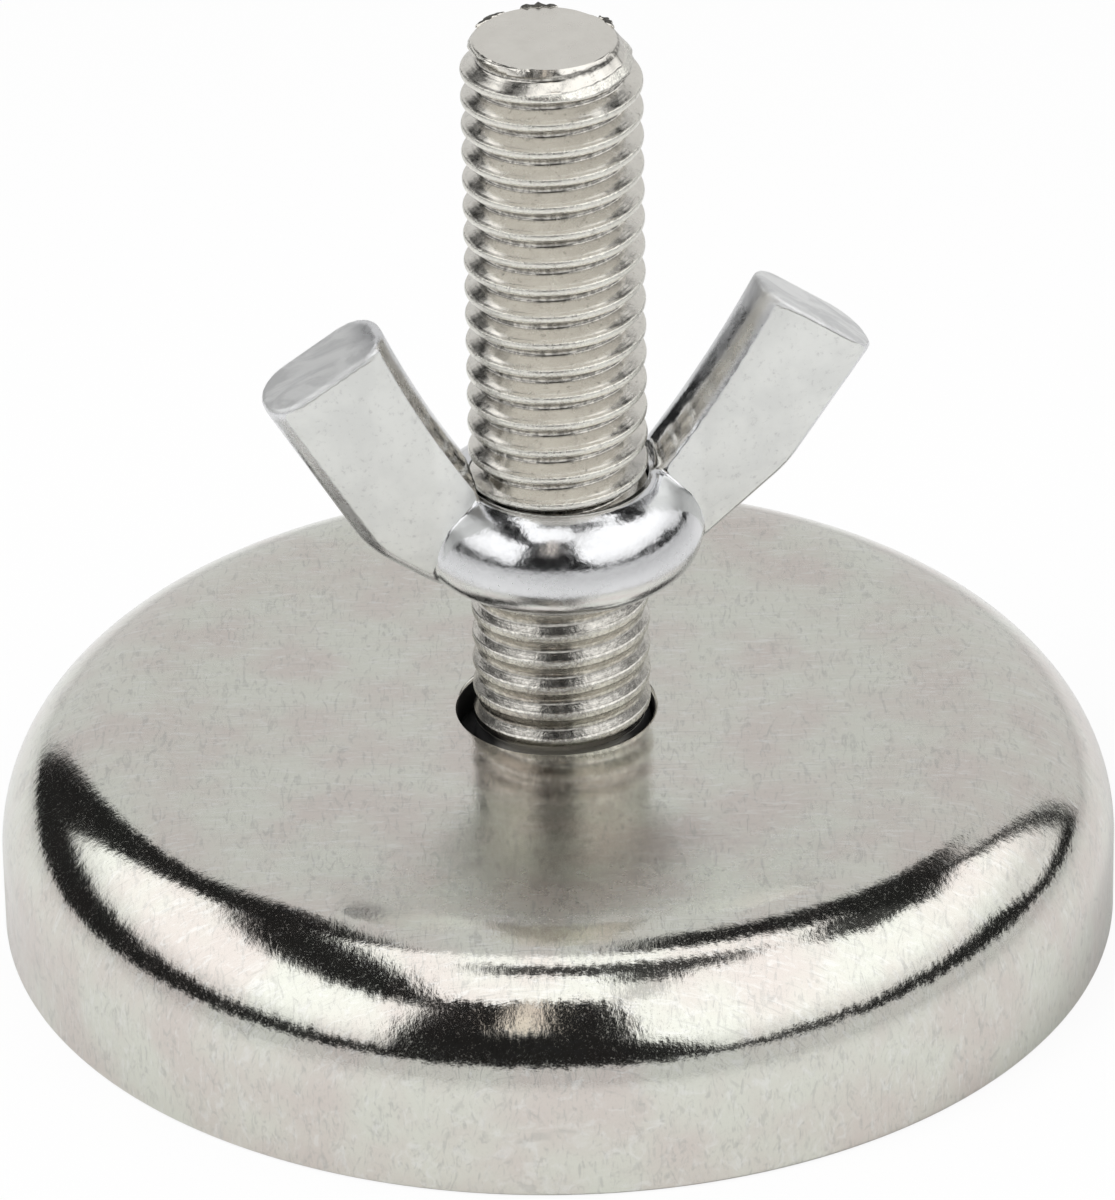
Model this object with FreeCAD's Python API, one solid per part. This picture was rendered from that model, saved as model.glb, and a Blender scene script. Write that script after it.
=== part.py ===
"""Pot magnet with a loose bolt and a wing nut, in millimetres.

The origin is on the cup's axis in the plane of its open rim, +Z up.
"""
import FreeCAD, Part
import math
import os
from FreeCAD import Vector

# Steel cup, drawn from sheet with its open side down
CUP_RADIUS = 30.0
CUP_HEIGHT = 12.2
CUP_WALL = 1.8
CUP_ROUND = 7.5
HOLE_CLEARANCE = 0.54
HOLE_EDGE_ROUND = 0.45
RIM_EDGE_ROUND = 0.4

# Ferrite ring and the resin that bonds it in the cup
RESIN_WIDTH = 3.2
HEAD_CLEARANCE = 1.95
MAGNET_CHAMFER = 0.7
MAGNET_RECESS = 0.25
BOND_THICKNESS = 0.3
RESIN_RECESS = 0.9

# Hexagon bolt, three eighths of an inch, which hangs by its head under the cup.
# It is loose in the hole and stands to one side, a small gap from the edge.
BOLT_RADIUS = 4.7625
BOLT_LENGTH = 41.4
BOLT_PLAIN_LENGTH = 1.0
BOLT_SIDE_GAP = 0.19
BOLT_END_INSET = 0.91
BOLT_END_CHAMFER = 1.1
BOLT_END_ROUND = 0.25
HEAD_ACROSS_FLATS = 14.29
HEAD_HEIGHT = 6.0
HEAD_FLAT_INSET = 0.36
HEAD_CHAMFER_ANGLE = 30.0
WASHER_FACE_INSET = 0.25
WASHER_FACE_HEIGHT = 0.4

# Thread of the bolt and the nut, sixteen turns to the inch. THREAD_START is the
# height of one of its crests on the +X side.
PITCH = 1.5875
THREAD_ANGLE = 60.0
THREAD_START = 0.06

# Wing nut, forged in one piece, a little above the cup
NUT_HEIGHT_ABOVE_CUP = 8.9
NUT_BORE_CLEARANCE = 0.07
NUT_BORE_CHAMFER = 0.3
NUT_WALL = 2.84
NUT_LOWER_ROUND = 1.9
NUT_UPPER_ROUND = 3.7
WING_AZIMUTH = 15.5
WING_WIDTH = 7.4
WING_THICKNESS = 4.6
WING_EDGE_FLAT = 0.3
WING_TIP_ROUND = 0.35
WING_KNEE_ROUND = 6.0
WING_HOLLOW = 0.45
WING_ROOT_INSET = 2.87
WING_TOE_INSET = 0.25
WING_TOE_LIFT = 0.3
# The forging is uneven: each wing has its own overhang past the boss, and its
# own heights of tip and knee above the bottom of the boss.
NEAR_WING_OVERHANG = 5.15
NEAR_WING_HEIGHT = 13.7
NEAR_WING_KNEE = 2.7
FAR_WING_OVERHANG = 6.55
FAR_WING_HEIGHT = 12.9
FAR_WING_KNEE = 4.3

CUP_INNER_RADIUS = CUP_RADIUS - CUP_WALL
CUP_INNER_TOP = CUP_HEIGHT - CUP_WALL
CUP_INNER_ROUND = CUP_ROUND - CUP_WALL
CUP_FLAT_RADIUS = CUP_RADIUS - CUP_ROUND
CUP_ROUND_Z = CUP_HEIGHT - CUP_ROUND
HOLE_RADIUS = BOLT_RADIUS + HOLE_CLEARANCE
CREST_WIDTH = PITCH / 8
ROOT_WIDTH = PITCH / 6
FLANK_RISE = (PITCH - CREST_WIDTH - ROOT_WIDTH) / 2
THREAD_DEPTH = FLANK_RISE / math.tan(math.radians(THREAD_ANGLE / 2))
HEAD_CORNER_RADIUS = HEAD_ACROSS_FLATS / 2 / math.cos(math.radians(30))
WASHER_FACE_RADIUS = HEAD_ACROSS_FLATS / 2 - WASHER_FACE_INSET
BOLT_TOP = CUP_INNER_TOP + BOLT_LENGTH
BOLT_END_RADIUS = BOLT_RADIUS - BOLT_END_INSET
BOLT_AXIS = Vector(HOLE_CLEARANCE - BOLT_SIDE_GAP, 0, 0)
MAGNET_RADIUS = CUP_INNER_RADIUS - RESIN_WIDTH
MAGNET_HOLE_RADIUS = HEAD_CORNER_RADIUS + HEAD_CLEARANCE
MAGNET_TOP = CUP_INNER_TOP - BOND_THICKNESS
NUT_BOTTOM = CUP_HEIGHT + NUT_HEIGHT_ABOVE_CUP
NUT_BORE_RADIUS = BOLT_RADIUS + NUT_BORE_CLEARANCE
NUT_BOSS_RADIUS = NUT_BORE_RADIUS + NUT_WALL
NUT_TOP = NUT_BOTTOM + NUT_LOWER_ROUND + NUT_UPPER_ROUND
WING_EDGE_ROUND = WING_THICKNESS / 2 - WING_EDGE_FLAT

# How far a cutting solid reaches past what it cuts
OVERCUT = 1.0
# Distance within which two points of the model count as one
NEAR = 0.01


def at(radius, z):
    """Point of a profile that is turned about the Z axis."""
    return Vector(radius, 0, z)


def line(start, end):
    return Part.makeLine(start, end)


def quarter(centre_radius, centre_z, radius, start_deg, end_deg):
    """Arc of a turned profile, by its centre, radius and two angles."""
    points = []
    for angle in [start_deg, (start_deg + end_deg) / 2, end_deg]:
        a = math.radians(angle)
        points.append(at(centre_radius + radius * math.cos(a), centre_z + radius * math.sin(a)))
    return Part.Arc(*points).toShape()


def turned(edges):
    """Solid of revolution of a closed profile about the Z axis."""
    wire = Part.Wire(Part.__sortEdges__(edges))
    return Part.Face(wire).revolve(Vector(0, 0, 0), Vector(0, 0, 1), 360)


def closed(points):
    """Edges of a closed polygon."""
    edges = []
    for i, start in enumerate(points):
        edges.append(line(start, points[(i + 1) % len(points)]))
    return edges


def edges_joining(shape, places):
    """Edges with every end at one of the given places."""
    def placed(vertex):
        return min(vertex.Point.distanceToPoint(place) for place in places) < NEAR

    return [edge for edge in shape.Edges if all(placed(vertex) for vertex in edge.Vertexes)]


def edges_in_plane(shape, origin, normal):
    """Edges with every end in the plane through the origin."""
    def flat(vertex):
        return abs((vertex.Point - origin).dot(normal)) < NEAR

    return [edge for edge in shape.Edges if all(flat(vertex) for vertex in edge.Vertexes)]


def rounded_corner(before, corner, after, radius):
    """Start, middle and end of the arc that rounds a corner of an outline."""
    back = (before - corner).normalize()
    onward = (after - corner).normalize()
    half_angle = back.getAngle(onward) / 2
    setback = radius / math.tan(half_angle)
    depth = radius / math.sin(half_angle) - radius
    middle = corner + (back + onward).normalize() * depth
    return corner + back * setback, middle, corner + onward * setback


def cup():
    """Deep-drawn shell: wall, large rounding, flat top with a round hole."""
    rim = RIM_EDGE_ROUND
    lip = HOLE_EDGE_ROUND
    return turned([
        line(at(CUP_INNER_RADIUS, 0), at(CUP_RADIUS - rim, 0)),
        quarter(CUP_RADIUS - rim, rim, rim, -90, 0),
        line(at(CUP_RADIUS, rim), at(CUP_RADIUS, CUP_ROUND_Z)),
        quarter(CUP_FLAT_RADIUS, CUP_ROUND_Z, CUP_ROUND, 0, 90),
        line(at(CUP_FLAT_RADIUS, CUP_HEIGHT), at(HOLE_RADIUS + lip, CUP_HEIGHT)),
        quarter(HOLE_RADIUS + lip, CUP_HEIGHT - lip, lip, 90, 180),
        line(at(HOLE_RADIUS, CUP_HEIGHT - lip), at(HOLE_RADIUS, CUP_INNER_TOP)),
        line(at(HOLE_RADIUS, CUP_INNER_TOP), at(CUP_FLAT_RADIUS, CUP_INNER_TOP)),
        quarter(CUP_FLAT_RADIUS, CUP_ROUND_Z, CUP_INNER_ROUND, 90, 0),
        line(at(CUP_INNER_RADIUS, CUP_ROUND_Z), at(CUP_INNER_RADIUS, 0)),
    ])


def magnet():
    """Ferrite ring: small chamfers, and a wide one that clears the cup's rounding."""
    c = MAGNET_CHAMFER
    shoulder = max(c, MAGNET_RADIUS - CUP_FLAT_RADIUS)
    low = MAGNET_RECESS
    inner = MAGNET_HOLE_RADIUS
    outer = MAGNET_RADIUS
    return turned(closed([
        at(inner + c, low),
        at(outer - c, low),
        at(outer, low + c),
        at(outer, MAGNET_TOP - shoulder),
        at(outer - shoulder, MAGNET_TOP),
        at(inner + c, MAGNET_TOP),
        at(inner, MAGNET_TOP - c),
        at(inner, low + c),
    ]))


def resin(ring):
    """Bond over the ring and the fill between the ring and the cup's wall."""
    middle = (MAGNET_RADIUS + MAGNET_HOLE_RADIUS) / 2
    bond_edge = MAGNET_HOLE_RADIUS + MAGNET_CHAMFER
    filling = turned([
        line(at(middle, RESIN_RECESS), at(CUP_INNER_RADIUS, RESIN_RECESS)),
        line(at(CUP_INNER_RADIUS, RESIN_RECESS), at(CUP_INNER_RADIUS, CUP_ROUND_Z)),
        quarter(CUP_FLAT_RADIUS, CUP_ROUND_Z, CUP_INNER_ROUND, 0, 90),
        line(at(CUP_FLAT_RADIUS, CUP_INNER_TOP), at(bond_edge, CUP_INNER_TOP)),
        line(at(bond_edge, CUP_INNER_TOP), at(bond_edge, MAGNET_TOP)),
        line(at(bond_edge, MAGNET_TOP), at(middle, MAGNET_TOP)),
        line(at(middle, MAGNET_TOP), at(middle, RESIN_RECESS)),
    ])
    return filling.cut(ring)


def hexagon_head():
    """Head with its corners turned off below and a washer face above."""
    low = CUP_INNER_TOP - HEAD_HEIGHT
    shoulder = CUP_INNER_TOP - WASHER_FACE_HEIGHT
    corners = []
    for i in range(6):
        a = math.radians(60 * i + 30)
        corners.append(Vector(HEAD_CORNER_RADIUS * math.cos(a), HEAD_CORNER_RADIUS * math.sin(a), low))
    wire = Part.makePolygon(corners + corners[:1])
    prism = Part.Face(wire).extrude(Vector(0, 0, shoulder - low))
    flat_radius = HEAD_ACROSS_FLATS / 2 - HEAD_FLAT_INSET
    side_radius = HEAD_CORNER_RADIUS + OVERCUT
    rise = (side_radius - flat_radius) * math.tan(math.radians(HEAD_CHAMFER_ANGLE))
    turning = turned(closed([
        at(0, low),
        at(flat_radius, low),
        at(side_radius, low + rise),
        at(side_radius, CUP_INNER_TOP),
        at(0, CUP_INNER_TOP),
    ]))
    washer = Part.makeCylinder(WASHER_FACE_RADIUS, WASHER_FACE_HEIGHT, at(0, shoulder))
    return prism.common(turning).fuse(washer)


def helix(radius, z):
    """One right-hand turn of the thread's helix from the +X side."""
    turn = Part.makeHelix(PITCH, PITCH, radius)
    turn.translate(Vector(0, 0, z))
    return turn.Edges[0]


def thread_end(profile):
    """Faces that close the thread below one turn: a helicoid and its upright step."""
    foot = at(0, profile[0].z)
    head = at(0, profile[-1].z)
    helicoid = Part.makeRuledSurface(line(foot, head), helix(profile[0].x, foot.z))
    outline = [foot] + profile + [head, foot]
    return [helicoid, Part.Face(Part.makePolygon(outline))]


def threaded_rod(low, high, clearance):
    """Rod with the bolt's thread, a little longer than from low to high."""
    outer = BOLT_RADIUS + clearance
    inner = outer - THREAD_DEPTH
    groove = CREST_WIDTH + FLANK_RISE
    corners = [(outer, 0), (outer, CREST_WIDTH), (inner, groove), (inner, groove + ROOT_WIDTH), (outer, PITCH)]
    first = math.floor((low - THREAD_START) / PITCH) - 1
    last = math.ceil((high - THREAD_START) / PITCH) + 1
    profiles = []
    for turn in range(first, last + 1):
        z = THREAD_START - CREST_WIDTH / 2 + turn * PITCH
        profiles.append([at(radius, z + rise) for radius, rise in corners])
    faces = thread_end(profiles[0]) + thread_end(profiles[-1])
    for profile in profiles[:-1]:
        for start, end in zip(profile, profile[1:]):
            faces.append(Part.makeRuledSurface(helix(start.x, start.z), helix(end.x, end.z)))
    shell = Part.makeShell(faces)
    shell.sewShape(NEAR)
    rod = Part.makeSolid(shell.Shells[0])
    if rod.Volume < 0:
        rod.reverse()
    return rod


def bolt():
    """Head and threaded shank, its end turned down to the root of the thread."""
    low = CUP_INNER_TOP - HEAD_HEIGHT / 2
    thread_low = CUP_INNER_TOP + BOLT_PLAIN_LENGTH
    side_radius = BOLT_RADIUS + OVERCUT
    taper = BOLT_END_CHAMFER / (BOLT_RADIUS - BOLT_END_RADIUS)
    cone_low = BOLT_TOP - (side_radius - BOLT_END_RADIUS) * taper
    r = BOLT_END_ROUND
    turning = turned([
        line(at(0, thread_low), at(side_radius, thread_low)),
        line(at(side_radius, thread_low), at(side_radius, cone_low)),
        line(at(side_radius, cone_low), at(BOLT_END_RADIUS, BOLT_TOP - r)),
        quarter(BOLT_END_RADIUS - r, BOLT_TOP - r, r, 0, 90),
        line(at(BOLT_END_RADIUS - r, BOLT_TOP), at(0, BOLT_TOP)),
        line(at(0, BOLT_TOP), at(0, thread_low)),
    ])
    thread = threaded_rod(thread_low, BOLT_TOP, 0).common(turning)
    neck = Part.makeCylinder(BOLT_RADIUS, thread_low - low, at(0, low))
    whole = hexagon_head().fuse([neck, thread]).removeSplitter()
    whole.translate(BOLT_AXIS)
    return whole


def boss():
    """Ring of the nut: a bulge, rounded tighter below than above."""
    widest = NUT_BOTTOM + NUT_LOWER_ROUND
    low_radius = NUT_BOSS_RADIUS - NUT_LOWER_ROUND
    top_radius = NUT_BOSS_RADIUS - NUT_UPPER_ROUND
    return turned([
        line(at(0, NUT_BOTTOM), at(low_radius, NUT_BOTTOM)),
        quarter(low_radius, widest, NUT_LOWER_ROUND, -90, 0),
        quarter(top_radius, widest, NUT_UPPER_ROUND, 0, 90),
        line(at(top_radius, NUT_TOP), at(0, NUT_TOP)),
        line(at(0, NUT_TOP), at(0, NUT_BOTTOM)),
    ])


def bore():
    """Solids that the tapped hole takes away: the thread, and a wider mouth at each end."""
    mouth = NUT_BORE_RADIUS + NUT_BORE_CHAMFER
    lower_mouth = turned(closed([
        at(0, NUT_BOTTOM - OVERCUT),
        at(mouth, NUT_BOTTOM - OVERCUT),
        at(mouth, NUT_BOTTOM),
        at(0, NUT_BOTTOM + mouth),
    ]))
    upper_low = NUT_TOP - NUT_BORE_CHAMFER
    upper_mouth = Part.makeCylinder(mouth, BOLT_TOP - upper_low, at(0, upper_low))
    return [threaded_rod(NUT_BOTTOM, NUT_TOP, NUT_BORE_CLEARANCE), lower_mouth, upper_mouth]


def wing(overhang, height, knee_height):
    """One wing along +X: a bar of even width that leans out, with a bent foot."""
    tip = at(NUT_BOSS_RADIUS + overhang, NUT_BOTTOM + height)
    root = at(NUT_BOSS_RADIUS - WING_ROOT_INSET, NUT_BOTTOM)
    along = (tip - root).normalize()
    inward = Vector(-along.z, 0, along.x)
    inner_tip = tip + inward * (WING_WIDTH / 2)
    outer_tip = tip - inward * (WING_WIDTH / 2)
    knee = outer_tip - along * ((outer_tip.z - NUT_BOTTOM - knee_height) / along.z)
    toe = at(NUT_BOSS_RADIUS - WING_TOE_INSET, NUT_BOTTOM + WING_TOE_LIFT)
    # Both feet end inside the bore, which cuts them off.
    foot_radius = BOLT_RADIUS / 2
    outer_foot = at(foot_radius, toe.z)
    inner_foot = inner_tip - along * ((inner_tip.x - foot_radius) / along.x)
    hollow = (inner_tip + inner_foot) / 2 - inward * WING_HOLLOW
    bend_start, bend, bend_end = rounded_corner(outer_tip, knee, toe, WING_KNEE_ROUND)
    outline = Part.Wire([
        line(inner_tip, outer_tip),
        line(outer_tip, bend_start),
        Part.Arc(bend_start, bend, bend_end).toShape(),
        line(bend_end, toe),
        line(toe, outer_foot),
        line(outer_foot, inner_foot),
        Part.Arc(inner_foot, hollow, inner_tip).toShape(),
    ])
    half = Vector(0, WING_THICKNESS / 2, 0)
    outline.translate(-half)
    bar = Part.Face(outline).extrude(half * 2)
    for places in [[outer_tip, bend_start, bend_end, toe], [inner_tip, inner_foot]]:
        edges = []
        for side in [half, -half]:
            edges += edges_joining(bar, [place + side for place in places])
        bar = bar.makeFillet(WING_EDGE_ROUND, edges)
    return bar.makeFillet(WING_TIP_ROUND, edges_in_plane(bar, tip, along))


def wing_nut():
    """Boss with two wings and a tapped hole."""
    far = wing(FAR_WING_OVERHANG, FAR_WING_HEIGHT, FAR_WING_KNEE)
    near = wing(NEAR_WING_OVERHANG, NEAR_WING_HEIGHT, NEAR_WING_KNEE)
    near.rotate(Vector(0, 0, 0), Vector(0, 0, 1), 180)
    whole = boss().fuse([far, near]).removeSplitter()
    whole.rotate(Vector(0, 0, 0), Vector(0, 0, 1), WING_AZIMUTH)
    for removed in bore():
        whole = whole.cut(removed)
    whole.translate(BOLT_AXIS)
    return whole


def export(name, shape):
    shape.exportStep("parts/" + name + ".step")


def main():
    os.makedirs("parts", exist_ok=True)
    ring = magnet()
    export("steel_cup", cup())
    export("ring_magnet", ring)
    export("resin_bond", resin(ring))
    export("hex_bolt", bolt())
    export("wing_nut", wing_nut())


main()
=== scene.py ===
"""Pot magnet with a loose bolt and a wing nut, dressed for a studio photograph."""
import math
import bmesh
import bpy
import numpy as np
from mathutils import Matrix, Vector


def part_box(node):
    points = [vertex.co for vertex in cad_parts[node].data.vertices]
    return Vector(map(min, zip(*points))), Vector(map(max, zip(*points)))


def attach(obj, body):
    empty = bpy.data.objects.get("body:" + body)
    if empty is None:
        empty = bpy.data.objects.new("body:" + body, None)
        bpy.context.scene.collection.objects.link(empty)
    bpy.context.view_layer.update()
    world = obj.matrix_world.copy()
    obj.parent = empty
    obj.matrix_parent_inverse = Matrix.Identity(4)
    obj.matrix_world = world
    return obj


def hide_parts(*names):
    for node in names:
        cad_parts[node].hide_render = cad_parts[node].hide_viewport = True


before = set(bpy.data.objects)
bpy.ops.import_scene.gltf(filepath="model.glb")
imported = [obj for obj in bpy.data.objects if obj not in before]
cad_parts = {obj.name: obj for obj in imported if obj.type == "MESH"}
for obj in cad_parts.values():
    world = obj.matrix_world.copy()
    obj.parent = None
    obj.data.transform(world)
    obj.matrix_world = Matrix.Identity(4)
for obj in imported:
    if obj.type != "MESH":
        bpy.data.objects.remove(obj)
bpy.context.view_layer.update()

MM = 0.001

# Sizes read from the frame
cup_low, cup_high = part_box("steel_cup")
bolt_low, bolt_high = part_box("hex_bolt")
nut_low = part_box("wing_nut")[0]
CUP_RADIUS = (cup_high.x - cup_low.x) / 2
CUP_TOP = cup_high.z
BOLT_X = (bolt_low.x + bolt_high.x) / 2
BOLT_TOP = bolt_high.z
HEAD_FLATS = bolt_high.x - bolt_low.x
NUT_LOW = nut_low.z

# Cup. EASE_TURN is the angle over which the flat passes into the round.
CUP_WALL = 1.8 * MM
CUP_ROUND = 7.5 * MM
EASE_TURN = math.radians(11)
HOLE_RADIUS = 5.3 * MM
HOLE_LIP = 0.28 * MM
RIM_ROUND = 0.4 * MM
CUP_STEPS = 384

# Bolt: three eighths of an inch, sixteen threads to the inch. LOW_WEAR is the share of its depth
# that the worn thread keeps, low on the bolt. A burr is (first degree, last degree, height).
BOLT_RADIUS = 4.7625 * MM
PITCH = 1.5875 * MM
THREAD_PHASE = 0.09 * PITCH
CREST_HALF = PITCH / 9
ROOT_HALF = PITCH / 13
THREAD_DEPTH = (PITCH / 2 - CREST_HALF - ROOT_HALF) / math.tan(math.radians(30))
CREST_ROUND = 0.29 * MM
ROOT_ROUND = 0.18 * MM
END_RADIUS = 3.85 * MM
END_SHIFT = 0.35 * MM
END_CHAMFER = 1.1 * MM
END_ROUND = 0.22 * MM
END_BLEND = 0.12 * MM
LOW_WEAR = 0.36
WEAR_FADE = (7 * MM, 12 * MM)
RUNOUT = (1.0 * MM, 3.0 * MM)
CHIP_DEPTH = 0.35 * MM
BURRS = ((84, 113, 0.24 * MM), (126, 156, 0.10 * MM), (22, 46, 0.12 * MM))
BURR_STEPS = 10
HEAD_HEIGHT = 6.0 * MM
HEAD_EDGE = 0.05 * MM
HEAD_TOP_EDGE = 0.1 * MM
HEAD_FLAT_RADIUS = 6.78 * MM
WASHER_RADIUS = 6.9 * MM
WASHER_HEIGHT = 0.4 * MM
TURN_STEPS = 140
HEAD_STEPS = 144

# Nut
BOSS_HEIGHT = 5.5 * MM
NUT_BORE = 4.81 * MM
NUT_THREAD_GAP = 0.06 * MM
NUT_SKIN_STEP = 0.15 * MM
MOUTH_FADE = (0.3 * MM, 0.9 * MM)
MOUTH_CUT = 0.35 * MM
WING_AZIMUTH = math.radians(15.5)
WING_SIDE = (-math.sin(WING_AZIMUTH), math.cos(WING_AZIMUTH), 0)

# Camera
EYE_DISTANCE = 515.0 * MM
EYE_ELEVATION = 0.515131
LOOK_HEIGHT = 15.0 * MM
LOOK_UP = 0.006052
LOOK_SIDE = -0.000364
ROLL = 0.017813
FOCAL_LENGTH = 288.63

# Lamp
KEY_PLACE = (-0.5, -0.4, 0.9)
KEY_SIZE = 0.5
KEY_ENERGY = 6.0


# ---------- meshes

def new_object(name, verts, faces, body, smooth_angle=40):
    mesh = bpy.data.meshes.new(name)
    mesh.from_pydata([tuple(v) for v in verts], [], faces)
    mesh.validate()
    mesh.update()
    obj = bpy.data.objects.new(name, mesh)
    bpy.context.scene.collection.objects.link(obj)
    mesh.polygons.foreach_set("use_smooth", [True] * len(mesh.polygons))
    mesh.set_sharp_from_angle(angle=math.radians(smooth_angle))
    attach(obj, body)
    return obj


def new_copy(name, node, body):
    """A piece that starts from a CAD node's mesh and may be reshaped."""
    obj = bpy.data.objects.new(name, node.data.copy())
    bpy.context.scene.collection.objects.link(obj)
    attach(obj, body)
    return obj


def arc(centre_r, centre_z, radius, start, end, steps):
    """Points of an arc in a turned profile, angles in degrees."""
    angles = np.radians(np.linspace(start, end, steps + 1))
    return [(centre_r + radius * math.cos(a), centre_z + radius * math.sin(a)) for a in angles]


def turned(name, profile, body, steps):
    """Closed profile of (radius, z) points turned about the Z axis."""
    count = len(profile)
    angles = np.arange(steps) * 2 * math.pi / steps
    radii = np.array([p[0] for p in profile])
    heights = np.array([p[1] for p in profile])
    x = np.outer(np.cos(angles), radii)
    y = np.outer(np.sin(angles), radii)
    z = np.broadcast_to(heights, x.shape)
    verts = np.stack([x, y, z], -1).reshape(-1, 3)
    faces = []
    for i in range(steps):
        j = (i + 1) % steps
        for k in range(count):
            m = (k + 1) % count
            faces.append((i * count + k, j * count + k, j * count + m, i * count + m))
    return new_object(name, verts, faces, body)


def eased_corner(flat, radius):
    """Start of the cup's corner, where the flat passes gradually into the round. Goes outward."""
    length = 2 * radius * EASE_TURN
    steps = 24
    r = 0.0
    z = CUP_TOP
    points = [(r, z)]
    for i in range(steps):
        slope = EASE_TURN * ((i + 0.5) / steps) ** 2
        r += length / steps * math.cos(slope)
        z -= length / steps * math.sin(slope)
        points.append((r, z))
    start = flat + radius * math.sin(EASE_TURN) - r
    return [(start + r, z) for r, z in points]


def build_cup():
    inner = CUP_RADIUS - CUP_WALL
    inner_top = CUP_TOP - CUP_WALL
    flat = CUP_RADIUS - CUP_ROUND
    round_z = CUP_TOP - CUP_ROUND
    profile = arc(CUP_RADIUS - RIM_ROUND, RIM_ROUND, RIM_ROUND, -90, 0, 6)
    ease = eased_corner(flat, CUP_ROUND)
    eased_z = ease[-1][1] - CUP_ROUND * math.cos(EASE_TURN)
    profile += arc(flat, eased_z, CUP_ROUND, 0, 90 - math.degrees(EASE_TURN), 44)[:-1]
    profile += ease[::-1]
    profile += [(HOLE_RADIUS + (flat - HOLE_RADIUS) * t, CUP_TOP) for t in (0.7, 0.5, 0.25)]
    profile += arc(HOLE_RADIUS + HOLE_LIP, CUP_TOP - HOLE_LIP, HOLE_LIP, 90, 180, 8)
    profile += [(HOLE_RADIUS, inner_top), (flat, inner_top)]
    profile += arc(flat, round_z, CUP_ROUND - CUP_WALL, 90, 0, 16)[1:]
    profile += [(inner, 0.0)]
    cup = turned("cup_shell", profile, "pot", CUP_STEPS)
    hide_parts("steel_cup")
    return cup


def thread_profile():
    """One pitch of the thread as (z, depth) points, from crest middle to crest middle."""
    flank = math.radians(30)
    corner_turn = math.pi / 2 - flank

    def fillet(corner_z, corner_d, radius, inside, steps):
        """Rounds the corner between a flat and a flank."""
        setback = radius * math.tan(corner_turn / 2)
        points = []
        for a in np.linspace(0, corner_turn, steps + 1):
            along = radius * math.sin(a)
            drop = radius * (1 - math.cos(a))
            if inside:
                points.append((corner_z + setback - along, corner_d - drop))
            else:
                points.append((corner_z - setback + along, corner_d + drop))
        return points[::-1] if inside else points

    half = [(0.0, 0.0)]
    half += fillet(CREST_HALF, 0.0, CREST_ROUND, False, 6)
    half += fillet(PITCH / 2 - ROOT_HALF, THREAD_DEPTH, ROOT_ROUND, True, 4)
    mirror = [(PITCH - z, d) for z, d in half[::-1]]
    return half + [(PITCH / 2, THREAD_DEPTH)] + mirror[:-1]


def helix_grid(low, high, radius_at):
    """Grid whose rows follow the thread's helix. radius_at(depth, angle, z) gives each radius."""
    profile = thread_profile()
    rows = len(profile)
    first = math.floor((low - PITCH) / PITCH)
    last = math.ceil((high + PITCH) / PITCH)
    offsets = []
    depths = []
    for turn in range(first, last + 1):
        for z, d in profile:
            offsets.append(turn * PITCH + z)
            depths.append(d)
    offsets = np.array(offsets)
    depths = np.array(depths)
    angles = np.arange(TURN_STEPS) * 2 * math.pi / TURN_STEPS
    z = THREAD_PHASE + offsets[None, :] + PITCH * angles[:, None] / (2 * math.pi)
    angle = np.broadcast_to(angles[:, None], z.shape)
    depth = np.broadcast_to(depths[None, :], z.shape)
    radius = radius_at(depth, angle, z)
    x = BOLT_X + radius * np.cos(angle)
    y = radius * np.sin(angle)
    verts = np.stack([x, y, z], -1).reshape(-1, 3)
    total = len(offsets)
    faces = []
    for i in range(TURN_STEPS):
        ahead = 0 if i < TURN_STEPS - 1 else rows
        j = (i + 1) % TURN_STEPS
        for k in range(total - 1 - ahead):
            faces.append((i * total + k, j * total + k + ahead, j * total + k + 1 + ahead, i * total + k + 1))
    return verts, faces


def cut_level(mesh, z, keep_below, close):
    """Cuts a mesh at a level, and closes the cut with one face if asked."""
    bm = bmesh.new()
    bm.from_mesh(mesh)
    geometry = bm.verts[:] + bm.edges[:] + bm.faces[:]
    bmesh.ops.bisect_plane(bm, geom=geometry, plane_co=(0, 0, z), plane_no=(0, 0, 1), dist=1e-7,
                           clear_outer=keep_below, clear_inner=not keep_below)
    if close:
        rim = [e for e in bm.edges if e.is_boundary and all(abs(v.co.z - z) < 1e-6 for v in e.verts)]
        bmesh.ops.edgeloop_fill(bm, edges=rim)
    bm.to_mesh(mesh)
    bm.free()


def smooth_step(low, high, value):
    t = np.clip((value - low) / (high - low), 0, 1)
    return t * t * (3 - 2 * t)


def ripple(angle, seed, waves, sharpness=1.0):
    """Irregular curve round the bolt between 0 and 1."""
    rng = np.random.default_rng(seed)
    total = np.zeros_like(angle)
    for wave in waves:
        total = total + rng.uniform(0.5, 1) * np.sin(wave * angle + rng.uniform(0, 2 * math.pi))
    total = (total / len(waves) + 1) / 2
    return np.clip(total, 0, 1) ** sharpness


def soft_minimum(a, b, blend):
    """Smaller of two radii, with a rounded change from one to the other."""
    share = np.clip(0.5 + 0.5 * (b - a) / blend, 0, 1)
    return b + (a - b) * share - blend * share * (1 - share)


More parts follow.
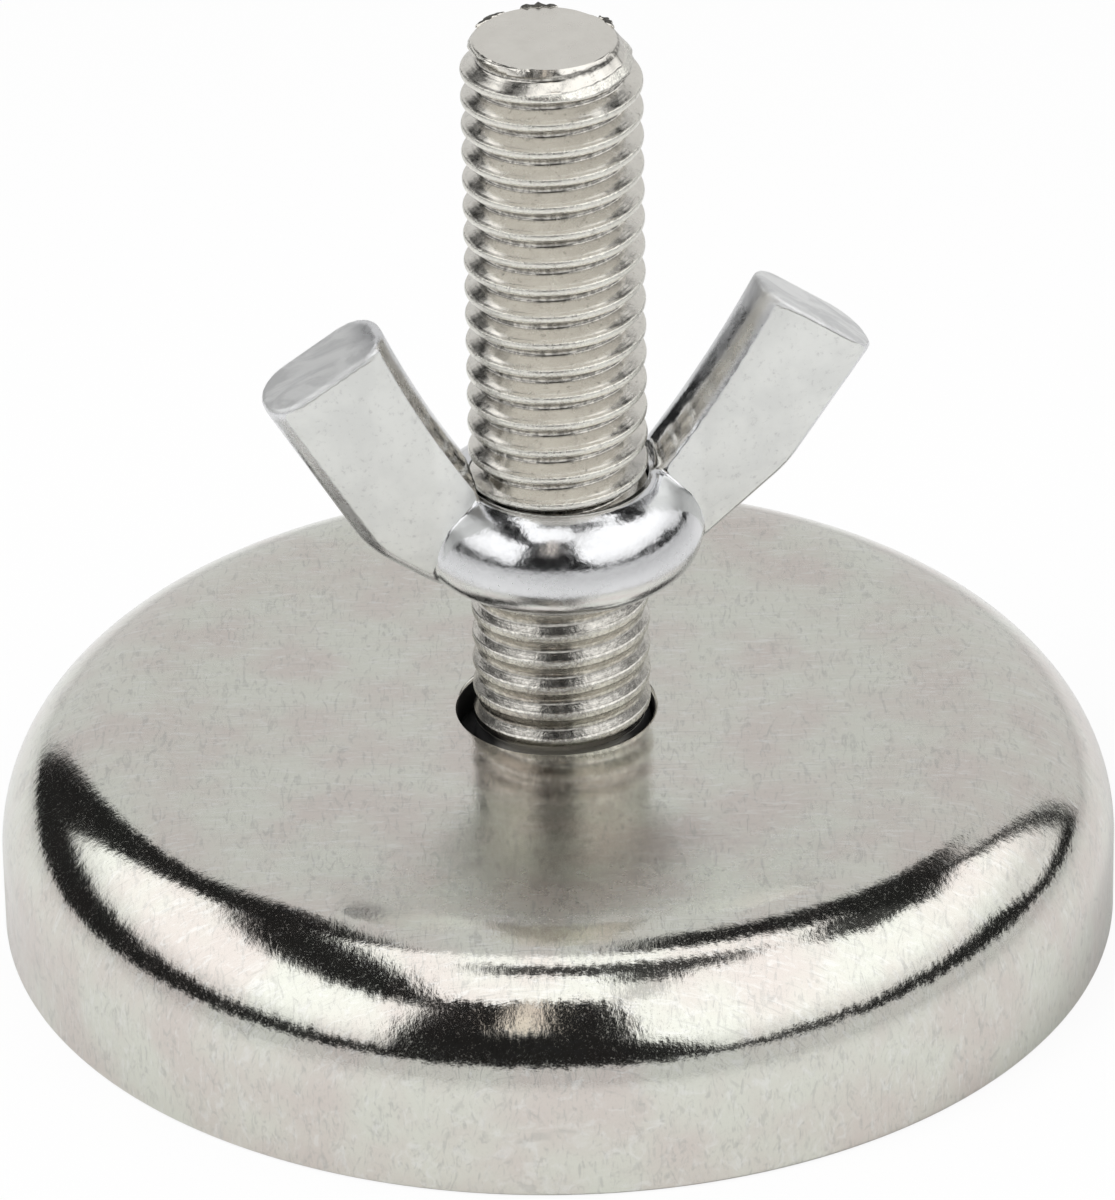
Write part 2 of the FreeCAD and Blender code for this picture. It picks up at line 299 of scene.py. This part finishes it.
def bolt_radius(depth, angle, z):
    """Radius of the threaded shank: worn low down, chamfered and chipped at its end."""
    worn = LOW_WEAR + (1 - LOW_WEAR) * smooth_step(CUP_TOP + WEAR_FADE[0], CUP_TOP + WEAR_FADE[1], z)
    plain = smooth_step(CUP_TOP - RUNOUT[0], CUP_TOP - RUNOUT[1], z)
    radius = BOLT_RADIUS - depth * worn * (1 - plain)
    chips = CHIP_DEPTH * ripple(angle, 5, (3, 7, 11, 19, 31), 2.0)
    below_end = BOLT_TOP - z
    slope = (BOLT_RADIUS - END_RADIUS) / END_CHAMFER
    flat = END_RADIUS - END_SHIFT * np.cos(angle)
    cone = flat + slope * np.maximum(below_end - 0.1 * MM, 0)
    cone = cone - chips * smooth_step(0.05 * MM, 0.5 * MM, below_end)
    corner = np.clip(1 - below_end / END_ROUND, 0, 1)
    rounded = END_ROUND * (1 - np.sqrt(np.maximum(1 - corner ** 2, 0)))
    return soft_minimum(radius, cone - rounded, END_BLEND)


def build_bolt():
    seat = CUP_TOP - CUP_WALL
    verts, faces = helix_grid(seat - 1.5 * MM, BOLT_TOP, bolt_radius)
    shank = new_object("threaded_shank", verts, faces, "bolt", 50)
    cut_level(shank.data, BOLT_TOP, True, True)
    cut_level(shank.data, seat - 1.0 * MM, False, True)
    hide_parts("hex_bolt")
    shank.data.polygons.foreach_set("use_smooth", [True] * len(shank.data.polygons))
    shank.data.set_sharp_from_angle(angle=math.radians(50))
    for polygon in shank.data.polygons:
        if len(polygon.vertices) > 20:  # the two end faces stay flat
            polygon.use_smooth = False

    low = seat - HEAD_HEIGHT
    steps = HEAD_STEPS
    high = seat - WASHER_HEIGHT
    tan30 = math.tan(math.radians(30))
    rings = [[] for _ in range(7)]
    for i in range(steps):
        a = 2 * math.pi * i / steps
        from_flat = (a + math.pi / 6) % (math.pi / 3) - math.pi / 6
        side = HEAD_FLATS / 2 / math.cos(from_flat)
        rise = (side - HEAD_FLAT_RADIUS) * tan30
        ring = [(HEAD_FLAT_RADIUS * 0.97, low), (HEAD_FLAT_RADIUS, low + HEAD_EDGE),
                (side, low + HEAD_EDGE + rise), (side, high - HEAD_TOP_EDGE), (side - HEAD_TOP_EDGE, high),
                (WASHER_RADIUS, high), (WASHER_RADIUS - HEAD_EDGE, seat)]
        for k, (r, z) in enumerate(ring):
            rings[k].append((BOLT_X + r * math.cos(a), r * math.sin(a), z))
    verts = [v for ring in rings for v in ring]
    faces = [tuple(range(steps))[::-1]]
    for k in range(len(rings) - 1):
        for i in range(steps):
            j = (i + 1) % steps
            faces.append((k * steps + i, k * steps + j, (k + 1) * steps + j, (k + 1) * steps + i))
    top = (len(rings) - 1) * steps
    faces.append(tuple(top + i for i in range(steps)))
    head = new_object("hexagon_head", verts, faces, "bolt", 25)
    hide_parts("hex_bolt")
    return shank, head


def build_burr():
    """Ragged burr that the thread rolling left round the back of the bolt's end."""
    rng = np.random.default_rng(11)
    verts = []
    faces = []
    section = BURR_STEPS
    for first, last, height in BURRS:
        count = int(last - first)
        start = len(verts)
        knots = np.arange(0, count + 4, 3)
        rough = np.interp(np.arange(count + 1), knots, rng.uniform(0.15, 1.0, len(knots)))
        drift = np.interp(np.arange(count + 1), knots, rng.uniform(-1.0, 1.0, len(knots)))
        for i in range(count + 1):
            share = i / count
            a = math.radians(first + (last - first) * share)
            grow = math.sin(math.pi * share) ** 0.5
            tall = height * (0.25 + 0.75 * rough[i]) * grow
            wide = (0.10 + 0.16 * rough[i]) * MM * (0.3 + 0.7 * grow)
            middle = END_RADIUS - END_SHIFT * math.cos(a) + 0.02 * MM + 0.07 * MM * drift[i]
            for k in range(section):
                b = 2 * math.pi * k / section
                r = middle + wide * math.cos(b)
                z = BOLT_TOP - 0.10 * MM + (tall + 0.10 * MM) * math.sin(b) * (1 if math.sin(b) > 0 else 0.5)
                verts.append((BOLT_X + r * math.cos(a), r * math.sin(a), z))
        for i in range(count):
            for k in range(section):
                m = (k + 1) % section
                ring = start + i * section
                faces.append((ring + k, ring + m, ring + section + m, ring + section + k))
        faces.append(tuple(start + k for k in range(section))[::-1])
        faces.append(tuple(start + count * section + k for k in range(section)))
    burr = new_object("end_burr", verts, faces, "bolt", 60)
    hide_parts("hex_bolt")
    return burr


def nut_thread_radius(depth, angle, z):
    """Inner surface of the nut's thread: clear of the bolt's worn part too, open at both ends."""
    near, far = MOUTH_FADE
    top = NUT_LOW + BOSS_HEIGHT
    ends = np.maximum(smooth_step(NUT_LOW + far, NUT_LOW + near, z), smooth_step(top - far, top - near, z))
    radius = BOLT_RADIUS - LOW_WEAR * depth + NUT_THREAD_GAP
    return np.minimum(radius + ends * 2 * THREAD_DEPTH, NUT_BORE)


def build_nut():
    """The forging: the frame's nut with its corners softened, and its thread as a piece of its own."""
    nut = new_copy("wing_nut_body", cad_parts["wing_nut"], "nut")
    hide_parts("wing_nut")
    remesh = nut.modifiers.new("skin", "REMESH")
    remesh.mode = "VOXEL"
    remesh.voxel_size = NUT_SKIN_STEP
    remesh.use_smooth_shade = True
    soften = nut.modifiers.new("soften", "SMOOTH")
    soften.iterations = 3
    soften.factor = 0.5
    nut.data = bpy.data.meshes.new_from_object(nut.evaluated_get(bpy.context.evaluated_depsgraph_get()))
    nut.modifiers.clear()
    places = np.zeros(len(nut.data.vertices) * 3, np.float32)
    nut.data.vertices.foreach_get("co", places)
    places = places.reshape(-1, 3)
    across = places[:, :2] - (BOLT_X, 0)
    distance = np.linalg.norm(across, axis=1)
    inside = distance < NUT_BORE
    places[inside, :2] = across[inside] * (NUT_BORE / distance[inside])[:, None] + (BOLT_X, 0)
    nut.data.vertices.foreach_set("co", places.ravel())
    nut.data.update()

    verts, faces = helix_grid(NUT_LOW, NUT_LOW + BOSS_HEIGHT, nut_thread_radius)
    thread = new_object("nut_thread", verts, [f[::-1] for f in faces], "nut", 50)
    cut_level(thread.data, NUT_LOW + BOSS_HEIGHT - MOUTH_CUT, True, False)
    cut_level(thread.data, NUT_LOW + MOUTH_CUT, False, False)
    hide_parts("wing_nut")
    return nut, thread


# ---------- node graphs

class Graph:
    """Short way to build a node tree."""

    def __init__(self, tree):
        self.tree = tree

    def add(self, kind, inputs=(), **settings):
        node = self.tree.nodes.new(kind)
        for key, value in settings.items():
            setattr(node, key, value)
        for key, value in dict(inputs).items():
            self.put(node.inputs[key], value)
        return node

    def put(self, socket, value):
        if isinstance(value, bpy.types.NodeSocket):
            self.tree.links.new(value, socket)
        else:
            socket.default_value = value

    def math(self, operation, a, b=0.0):
        return self.add("ShaderNodeMath", {0: a, 1: b}, operation=operation).outputs[0]

    def plus(self, a, b):
        return self.math("ADD", a, b)

    def minus(self, a, b):
        return self.math("SUBTRACT", a, b)

    def times(self, a, b):
        return self.math("MULTIPLY", a, b)

    def dot(self, a, b):
        node = self.add("ShaderNodeVectorMath", {0: a, 1: b}, operation="DOT_PRODUCT")
        return node.outputs["Value"]

    def length(self, vector):
        return self.add("ShaderNodeVectorMath", {0: vector}, operation="LENGTH").outputs["Value"]

    def combine(self, *parts):
        return self.add("ShaderNodeCombineXYZ", dict(enumerate(parts))).outputs[0]

    def ramp(self, value, low, high, start=0.0, end=1.0):
        """Smooth step of a value from low to high."""
        inputs = {"Value": value, "From Min": low, "From Max": high, "To Min": start, "To Max": end}
        node = self.add("ShaderNodeMapRange", inputs, interpolation_type="SMOOTHSTEP")
        return node.outputs["Result"]

    def window(self, value, low, high, soft):
        """One between low and high, with soft edges."""
        rise = self.ramp(value, low - soft, low + soft)
        fall = self.ramp(value, high - soft, high + soft, 1.0, 0.0)
        return self.times(rise, fall)

    def mix(self, factor, a, b):
        return self.add("ShaderNodeMix", {0: factor, 6: a, 7: b}, data_type="RGBA").outputs[2]

    def mix_value(self, factor, a, b):
        return self.add("ShaderNodeMix", {0: factor, 2: a, 3: b}, data_type="FLOAT").outputs[0]

    def noise(self, vector, scale, detail=3.0, roughness=0.55, distortion=0.0):
        inputs = {"Vector": vector, "Scale": scale, "Detail": detail, "Roughness": roughness,
                  "Distortion": distortion}
        return self.add("ShaderNodeTexNoise", inputs).outputs["Fac"]

    def stretched(self, vector, scale, turn=0.0):
        inputs = {"Vector": vector, "Scale": scale, "Rotation": (0, 0, turn)}
        return self.add("ShaderNodeMapping", inputs).outputs["Vector"]

    def bump(self, height, distance, normal=None):
        inputs = {"Height": height, "Distance": distance, "Strength": 1.0}
        if normal is not None:
            inputs["Normal"] = normal
        return self.add("ShaderNodeBump", inputs).outputs["Normal"]


def new_material(name):
    material = bpy.data.materials.new(name)
    material.use_nodes = True
    graph = Graph(material.node_tree)
    shader = material.node_tree.nodes["Principled BSDF"]
    place = graph.add("ShaderNodeTexCoord").outputs["Object"]
    millimetres = graph.add("ShaderNodeVectorMath", {0: place, "Scale": 1 / MM}, operation="SCALE").outputs[0]
    return material, graph, shader, millimetres


def dress(obj, material):
    obj.data.materials.clear()
    obj.data.materials.append(material)


def from_axis(g, mm):
    """Distance from the Z axis in millimetres, and the separate x, y, z."""
    parts = g.add("ShaderNodeSeparateXYZ", {0: mm})
    x, y, z = parts.outputs
    return g.length(g.combine(x, y)), x, y, z


def cup_material():
    """Nickel plate: fine scratches on the flat, a grainy drawn corner, faint rings on the wall."""
    material, g, shader, mm = new_material("cup_nickel")
    radius, x, y, z = from_axis(g, mm)
    # Masks: the flat, the wall, the corner between them
    top = g.ramp(radius, 23.4, 21.6)
    wall = g.ramp(z, 6.0, 3.0)
    bend = g.times(g.minus(1.0, top), g.minus(1.0, wall))
    cloud = g.noise(mm, 0.16, 3.0, 0.6)
    grain = g.noise(mm, 4.5, 3.0, 0.6)
    scratch_a = g.noise(g.stretched(mm, (2.6, 0.7, 1.0), 0.9), 1.0, 3.0, 0.65, 1.4)
    scratch_b = g.noise(g.stretched(mm, (0.8, 3.4, 1.0), 0.35), 1.0, 3.0, 0.65, 1.0)
    hair = g.noise(g.stretched(mm, (0.25, 9.0, 1.0), -0.5), 1.0, 2.0, 0.5, 0.3)
    marks = g.noise(g.stretched(mm, (0.2, 0.2, 5.0)), 1.0, 3.0)
    tone = g.mix(g.ramp(cloud, 0.35, 0.65), (0.700, 0.708, 0.640, 1), (0.670, 0.620, 0.578, 1))
    tone = g.mix(g.ramp(scratch_a, 0.5, 0.7, 0.0, 0.52), tone, (0.44, 0.44, 0.42, 1))
    tone = g.mix(g.ramp(scratch_b, 0.5, 0.7, 0.0, 0.52), tone, (0.80, 0.80, 0.78, 1))
    tone = g.mix(g.ramp(hair, 0.62, 0.72, 0.0, 0.32), tone, (0.42, 0.42, 0.40, 1))
    tone = g.mix(g.ramp(grain, 0.56, 0.72, 0.0, 0.16), tone, (0.42, 0.42, 0.40, 1))
    # Painted shade on the hole's inner side: near black and not metal, except at the front, where the lip is
    # lit
    inside = g.times(g.ramp(radius, 5.42, 5.33), g.ramp(z, 12.06, 11.98))
    inside = g.times(inside, g.ramp(y, -4.4, -2.6))
    tone = g.mix(inside, tone, (0.02, 0.02, 0.02, 1))
    g.put(shader.inputs["Base Color"], tone)
    g.put(shader.inputs["Metallic"], g.mix_value(inside, 1.0, 0.0))
    base = g.mix_value(top, 0.085, 0.115)
    rim_zone = g.times(g.ramp(radius, 9.0, 21.0), g.ramp(radius, 23.6, 22.0))
    base = g.plus(base, g.times(rim_zone, 0.15))
    base = g.mix_value(wall, base, 0.2)
    base = g.mix_value(inside, base, 0.8)
    spread = g.ramp(g.noise(mm, 1.1, 2.0), 0.35, 0.7, -0.01, 0.045)
    spread = g.times(spread, g.mix_value(bend, 1.0, 0.4))
    pits = g.times(g.ramp(g.noise(mm, 7.0, 1.0, 0.7), 0.56, 0.72), bend)
    spread = g.plus(spread, g.times(pits, 0.12))
    g.put(shader.inputs["Roughness"], g.plus(base, spread))
    normal = g.bump(g.times(g.noise(mm, 1.4, 3.0), g.mix_value(bend, 0.12, 1.0)), 9.0e-6)
    normal = g.bump(g.times(grain, g.mix_value(bend, 0.4, 1.0)), 3.4e-6, normal)
    normal = g.bump(scratch_a, 4.0e-6, normal)
    normal = g.bump(scratch_b, 3.0e-6, normal)
    normal = g.bump(g.times(marks, wall), 3.5e-6, normal)
    # Drawing marks that run up the corner: they tip the normal a little along Z
    around = g.times(g.math("ARCTAN2", y, x), 22.0)
    polar = g.combine(g.times(around, 4.2), g.times(radius, 0.45), g.times(z, 0.45))
    drawn = g.minus(g.noise(polar, 1.0, 4.0, 0.65), 0.5)
    high = g.ramp(z, 6.5, 10.0, 0.25, 1.0)
    lift = g.times(g.times(drawn, 0.20), high)
    lift = g.combine(0.0, 0.0, g.times(lift, bend))
    lifted = g.add("ShaderNodeVectorMath", {0: normal, 1: lift}, operation="ADD").outputs[0]
    normal = g.add("ShaderNodeVectorMath", {0: lifted}, operation="NORMALIZE").outputs[0]
    g.put(shader.inputs["Normal"], normal)
    return material


def bolt_material():
    """Nickel plate on a rolled thread: bright beaten crests, smooth flanks, painted shade in the roots."""
    material, g, shader, mm = new_material("bolt_nickel")
    x, y, z = g.add("ShaderNodeSeparateXYZ", {0: mm}).outputs
    # Place along the thread: whole numbers on a crest, halves in a root
    turn = g.math("DIVIDE", g.math("ARCTAN2", y, g.minus(x, BOLT_X / MM)), 2 * math.pi)
    climb = g.math("DIVIDE", g.minus(z, THREAD_PHASE / MM), PITCH / MM)
    along = g.minus(climb, turn)
    crest_distance = g.math("PINGPONG", along, 0.5)
    end = BOLT_TOP / MM
    shank = g.times(g.ramp(z, 12.0, 12.6), g.ramp(z, end - 0.04, end - 0.12))
    crest = g.times(g.ramp(crest_distance, 0.17, 0.09), shank)
    root = g.times(g.ramp(crest_distance, 0.36, 0.46), shank)
    low = g.times(g.ramp(z, 23.0, 20.0), shank)
    # Painted shade on the bolt inside the cup's hole: dark except at the front
    painted_hole_shade = g.times(g.ramp(z, 11.98, 11.84), g.ramp(z, 10.0, 10.3))
    painted_hole_shade = g.times(painted_hole_shade, g.ramp(y, -4.0, -2.4, 0.25, 1.0))
    burr = g.ramp(z, end + 0.005, end + 0.03)
    cloud = g.noise(mm, 0.8, 4.0)
    grain = g.noise(mm, 7.0, 3.0, 0.65)
    coarse = g.noise(mm, 3.2, 4.0, 0.7)
    tone = g.mix(cloud, (0.83, 0.808, 0.752, 1), (0.71, 0.682, 0.628, 1))
    tone = g.mix(g.times(crest, g.ramp(grain, 0.35, 0.6)), tone, (0.88, 0.87, 0.80, 1))
    # Painted shade in the thread roots: patchy, and weaker low on the bolt
    painted_root_shade = g.times(root, g.ramp(coarse, 0.35, 0.62, 0.10, 0.75))
    painted_root_shade = g.times(painted_root_shade, g.mix_value(low, 1.0, 0.6))
    tone = g.mix(painted_root_shade, tone, (0.10, 0.095, 0.085, 1))
    spots = g.times(g.ramp(coarse, 0.58, 0.72, 0.0, 0.5), shank)
    tone = g.mix(spots, tone, (0.17, 0.165, 0.15, 1))
    # The shank is darker in patches low down
    low_dark_patches = g.times(low, g.ramp(coarse, 0.40, 0.60, 0.15, 0.6))
    tone = g.mix(low_dark_patches, tone, (0.42, 0.405, 0.37, 1))
    tone = g.mix(painted_hole_shade, tone, (0.015, 0.015, 0.015, 1))
    tone = g.mix(burr, tone, (0.13, 0.125, 0.115, 1))
    g.put(shader.inputs["Base Color"], tone)
    g.put(shader.inputs["Metallic"], g.minus(1.0, painted_hole_shade))
    rough = g.ramp(g.noise(mm, 2.0, 4.0), 0.3, 0.75, 0.16, 0.29)
    rough = g.plus(rough, g.times(painted_hole_shade, 0.5))
    g.put(shader.inputs["Roughness"], g.plus(rough, g.times(burr, 0.25)))
    lines = g.noise(g.combine(g.times(g.math("FRACT", along), 13.0), turn), 1.0, 2.0)
    normal = g.bump(g.noise(mm, 1.6, 3.0), 6.0e-6)
    normal = g.bump(g.times(lines, shank), 1.0e-5, normal)
    beaten = g.plus(g.times(low, 1.1), g.times(crest, 2.6))
    normal = g.bump(g.times(coarse, g.plus(beaten, 0.12)), 1.8e-5, normal)
    beaten = g.plus(g.times(crest, 2.2), 0.2)
    normal = g.bump(g.times(grain, beaten), 8.0e-6, normal)
    g.put(shader.inputs["Normal"], normal)
    return material


def nut_material():
    """Zinc plate: matte brushed wing faces and a polished boss and edges."""
    material, g, shader, mm = new_material("nut_zinc")
    x, y, _ = g.add("ShaderNodeSeparateXYZ", {0: mm}).outputs
    away = g.combine(g.minus(x, BOLT_X / MM), y)
    reach = g.length(away)
    facing = g.add("ShaderNodeTexCoord").outputs["Normal"]
    side = g.dot(facing, WING_SIDE)
    upward = g.add("ShaderNodeSeparateXYZ", {0: facing}).outputs[2]
    beyond_boss = g.ramp(reach, 7.2, 8.0)
    near_wing = g.ramp(g.math("ABSOLUTE", g.dot(away, WING_SIDE)), 3.4, 3.0)
    face = g.times(g.ramp(g.math("ABSOLUTE", side), 0.72, 0.78), near_wing)
    # The wings' faces are shaded as planes, since the softened skin is a little wavy
    sign = g.math("SIGN", side)
    outward = g.add("ShaderNodeVectorMath", {0: WING_SIDE, "Scale": sign}, operation="SCALE").outputs[0]
    flattened = {0: g.times(face, 0.92), 4: facing, 5: outward}
    flattened = g.add("ShaderNodeMix", flattened, data_type="VECTOR").outputs[1]
    flattened = g.add("ShaderNodeVectorTransform", {0: flattened}, vector_type="NORMAL",
                      convert_from="OBJECT", convert_to="WORLD").outputs[0]
    tip = g.times(g.ramp(upward, 0.30, 0.45), g.ramp(reach, 10.0, 11.5))
    cloud = g.noise(mm, 0.35, 4.0)
    grain = g.noise(mm, 6.0, 3.0, 0.6)
    patch = g.noise(g.stretched(mm, (0.22, 0.6, 0.35), 0.4), 1.0, 6.0, 0.62, 0.8)
    brushed = g.noise(g.stretched(mm, (0.35, 0.35, 7.0), 0.0), 1.0, 3.0)
    speckle = g.noise(mm, 3.0, 4.0, 0.7)
    polished = g.mix(cloud, (0.785, 0.79, 0.80, 1), (0.70, 0.705, 0.72, 1))
    matte = g.mix(g.ramp(cloud, 0.35, 0.65), (0.90, 0.91, 0.885, 1), (0.83, 0.84, 0.82, 1))
    matte = g.mix(g.ramp(speckle, 0.55, 0.72, 0.0, 0.35), matte, (0.5, 0.5, 0.505, 1))
    worn = g.mix(g.ramp(patch, 0.40, 0.58), (0.76, 0.765, 0.765, 1), (0.93, 0.935, 0.93, 1))
    tone = g.mix(face, polished, matte)
    tone = g.mix(tip, tone, worn)
    g.put(shader.inputs["Base Color"], tone)
    g.put(shader.inputs["Metallic"], 1.0)
    rough = g.mix_value(face, g.ramp(patch, 0.40, 0.62, 0.11, 0.20), 0.34)
    rough = g.plus(rough, g.times(beyond_boss, 0.11))
    rough = g.mix_value(tip, rough, 0.50)
    g.put(shader.inputs["Roughness"], g.plus(rough, g.ramp(speckle, 0.4, 0.7, -0.02, 0.06)))
    dents = g.mix_value(beyond_boss, 3.4e-5, 1.6e-5)
    normal = g.bump(g.noise(mm, 0.7, 3.0), dents, flattened)
    normal = g.bump(g.times(patch, tip), 9.0e-5, normal)
    normal = g.bump(speckle, 3.0e-6, normal)
    normal = g.bump(grain, 1.6e-6, normal)
    normal = g.bump(g.times(brushed, face), 7.0e-6, normal)
    g.put(shader.inputs["Normal"], normal)
    return material


def ferrite_material():
    """Dark ceramic with a ground face."""
    material, g, shader, mm = new_material("ferrite")
    cloud = g.noise(mm, 0.7, 5.0)
    grain = g.noise(mm, 9.0, 3.0, 0.7)
    g.put(shader.inputs["Base Color"], g.mix(cloud, (0.055, 0.055, 0.058, 1), (0.028, 0.028, 0.03, 1)))
    g.put(shader.inputs["Roughness"], g.ramp(grain, 0.3, 0.7, 0.42, 0.62))
    ground = g.noise(g.stretched(mm, (7.0, 0.35, 1.0), 0.3), 1.0, 2.0)
    normal = g.bump(grain, 6.0e-6)
    g.put(shader.inputs["Normal"], g.bump(ground, 3.0e-6, normal))
    return material


def resin_material():
    """Dark filled resin with small pits."""
    material, g, shader, mm = new_material("resin")
    cloud = g.noise(mm, 0.5, 4.0)
    g.put(shader.inputs["Base Color"], g.mix(cloud, (0.03, 0.031, 0.034, 1), (0.065, 0.064, 0.062, 1)))
    g.put(shader.inputs["Roughness"], g.ramp(g.noise(mm, 1.5, 3.0), 0.3, 0.7, 0.25, 0.45))
    dimples = g.add("ShaderNodeTexVoronoi", {"Vector": mm, "Scale": 1.1}, feature="SMOOTH_F1")
    pits = g.ramp(dimples.outputs["Distance"], 0.05, 0.22)
    normal = g.bump(g.noise(mm, 0.4, 2.0), 6.0e-5)
    g.put(shader.inputs["Normal"], g.bump(pits, 2.5e-5, normal))
    return material


# ---------- studio

def build_world():
    """White to the camera. To everything else, a studio: pale below, a dark room on the
    camera's side with two soft boxes, a bright panel overhead and a grey backdrop."""
    backdrop, table, dark, panel, slit_level = 0.73, 0.72, 0.018, 1.38, 1.1
    world = bpy.data.worlds.new("studio")
    bpy.context.scene.world = world
    world.use_nodes = True
    world.node_tree.nodes.clear()
    g = Graph(world.node_tree)

    def patch(a, a_range, b, b_range):
        """Window in two directions, each range given as (low, high, soft edge)."""
        return g.times(g.window(a, *a_range), g.window(b, *b_range))

    # Directions: elevation and azimuth in degrees, azimuth 0 towards the camera and + to the
    # right. x and toward are the same direction's parts to the right and to the camera.
    x, y, z = g.add("ShaderNodeSeparateXYZ", {0: g.add("ShaderNodeTexCoord").outputs["Generated"]}).outputs
    to_degrees = 180 / math.pi
    elevation = g.times(g.math("ARCSINE", z), to_degrees)
    toward = g.times(y, -1.0)
    azimuth = g.times(g.math("ARCTAN2", x, toward), to_degrees)

    aside = g.math("DIVIDE", g.minus(azimuth, 5.0), 135.0)
    table_edge = g.minus(13.0, g.times(g.times(aside, aside), 17.0))
    above_table = g.minus(elevation, g.math("MAXIMUM", table_edge, 0.0))
    room = g.times(g.window(azimuth, -148.0, 132.5, 1.5), g.ramp(elevation, 82.0, 80.0))
    high_left = patch(x, (-0.45, -0.215, 0.025), toward, (-0.57, -0.27, 0.025))
    high_right = patch(x, (0.07, 0.44, 0.03), toward, (-0.51, -0.29, 0.025))
    corner = patch(azimuth, (110.0, 147.0, 2.5), elevation, (43.5, 64.0, 1.5))
    left = patch(azimuth, (-129.0, -36.0, 2.0), elevation, (18.5, 53.0, 2.5))
    low_side = g.plus(17.0, g.ramp(azimuth, 32.0, 19.0, 0.0, 14.0))
    low_side = g.plus(low_side, g.ramp(azimuth, 98.0, 114.0, 0.0, -9.0))
    right = g.times(g.window(azimuth, 17.0, 127.0, 2.0), g.ramp(g.minus(elevation, low_side), -2.0, 2.0))
    right = g.times(right, g.minus(1.0, corner))
    slit = patch(azimuth, (-13.0, -5.0, 2.0), elevation, (40.0, 66.0, 4.0))
    ceiling = patch(x, (-0.31, 0.40, 0.015), toward, (-0.28, 0.41, 0.02))
    strut = patch(toward, (-0.13, 0.03, 0.02), x, (-0.14, 0.34, 0.05))
    upright = patch(x, (0.105, 0.25, 0.02), toward, (-0.10, 0.16, 0.02))
    notch = patch(x, (0.45, 0.61, 0.02), toward, (-0.27, -0.08, 0.02))
    faint = g.times(patch(x, (0.14, 0.235, 0.02), toward, (0.10, 0.40, 0.03)), 0.5)
    box_level = g.ramp(elevation, 16.0, 34.0, 0.95, 1.38)

    # Later entries lie over earlier ones
    level = backdrop
    for mask, mask_level in ((corner, dark), (high_left, dark), (high_right, dark), (room, dark),
                             (ceiling, panel), (left, box_level), (right, box_level), (slit, slit_level),
                             (notch, 0.05), (faint, 0.2), (upright, 0.06), (strut, 0.05),
                             (g.ramp(above_table, 0.8, -0.8), table)):
        level = g.mix_value(mask, level, mask_level)
    tint = g.mix(slit, (1.0, 1.0, 1.0, 1), (1.0, 0.9, 0.8, 1))
    studio = g.add("ShaderNodeBackground", {"Color": tint, "Strength": level}).outputs[0]
    white = g.add("ShaderNodeBackground", {"Color": (1, 1, 1, 1), "Strength": 1.0}).outputs[0]
    seen = g.add("ShaderNodeLightPath").outputs["Is Camera Ray"]
    final = g.add("ShaderNodeMixShader", {0: seen, 1: studio, 2: white}).outputs[0]
    g.add("ShaderNodeOutputWorld", {"Surface": final})


def build_floor():
    """Pale floor: nearly white to the camera; to all else a painted pool of light, lighter near the object
    and darker away from it.
    """
    verts = [(-3, -3, 0), (3, -3, 0), (3, 3, 0), (-3, 3, 0)]
    mesh = bpy.data.meshes.new("floor")
    mesh.from_pydata(verts, [], [(0, 1, 2, 3)])
    floor = bpy.data.objects.new("floor", mesh)
    bpy.context.scene.collection.objects.link(floor)
    floor.location.z = -0.02 * MM
    material = bpy.data.materials.new("floor")
    material.use_nodes = True
    tree = material.node_tree
    tree.nodes.clear()
    g = Graph(tree)
    place = g.add("ShaderNodeTexCoord").outputs["Object"]
    # Painted pool of light: the floor's colour is lighter near the object and darker away from it
    away = g.ramp(g.length(place), 0.04, 0.16)
    painted_light_pool = g.mix(away, (0.82, 0.82, 0.82, 1), (0.68, 0.68, 0.68, 1))
    pale = g.add("ShaderNodeBsdfDiffuse", {"Color": painted_light_pool}).outputs[0]
    white = g.add("ShaderNodeEmission", {"Color": (1, 1, 1, 1), "Strength": 1.0}).outputs[0]
    seen = g.times(g.add("ShaderNodeLightPath").outputs["Is Camera Ray"], 0.93)
    final = g.add("ShaderNodeMixShader", {0: seen, 1: pale, 2: white}).outputs[0]
    g.add("ShaderNodeOutputMaterial", {"Surface": final})
    floor.data.materials.append(material)


def build_camera():
    data = bpy.data.cameras.new("camera")
    data.lens = FOCAL_LENGTH
    data.sensor_width = 36.0
    data.clip_start = 0.01
    camera = bpy.data.objects.new("camera", data)
    bpy.context.scene.collection.objects.link(camera)
    eye = Vector((0, -EYE_DISTANCE * math.cos(EYE_ELEVATION),
                  LOOK_HEIGHT + EYE_DISTANCE * math.sin(EYE_ELEVATION)))
    tilt = Matrix.Rotation(math.pi / 2 - EYE_ELEVATION + LOOK_UP, 4, "X")
    pan = Matrix.Rotation(LOOK_SIDE, 4, "Y")
    roll = Matrix.Rotation(-ROLL, 4, "Z")
    camera.matrix_world = Matrix.Translation(eye) @ tilt @ pan @ roll
    bpy.context.scene.camera = camera


def build_lamp(name, place, size, energy):
    data = bpy.data.lights.new(name, "AREA")
    data.shape = "SQUARE"
    data.size = size
    data.energy = energy
    lamp = bpy.data.objects.new(name, data)
    bpy.context.scene.collection.objects.link(lamp)
    lamp.location = place
    lamp.rotation_euler = (-Vector(place)).to_track_quat("-Z", "Y").to_euler()
    lamp.visible_glossy = False
    lamp.visible_camera = False


def main():
    cup = build_cup()
    shank, head = build_bolt()
    burr = build_burr()
    nut, nut_thread = build_nut()
    nickel = bolt_material()
    zinc = nut_material()
    dress(cup, cup_material())
    dress(shank, nickel)
    dress(head, nickel)
    dress(burr, nickel)
    dress(nut, zinc)
    dress(nut_thread, zinc)
    dress(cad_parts["ring_magnet"], ferrite_material())
    dress(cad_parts["resin_bond"], resin_material())
    build_world()
    build_floor()
    build_camera()
    build_lamp("key", KEY_PLACE, KEY_SIZE, KEY_ENERGY)
    scene = bpy.context.scene
    scene.view_settings.view_transform = "Standard"


main()
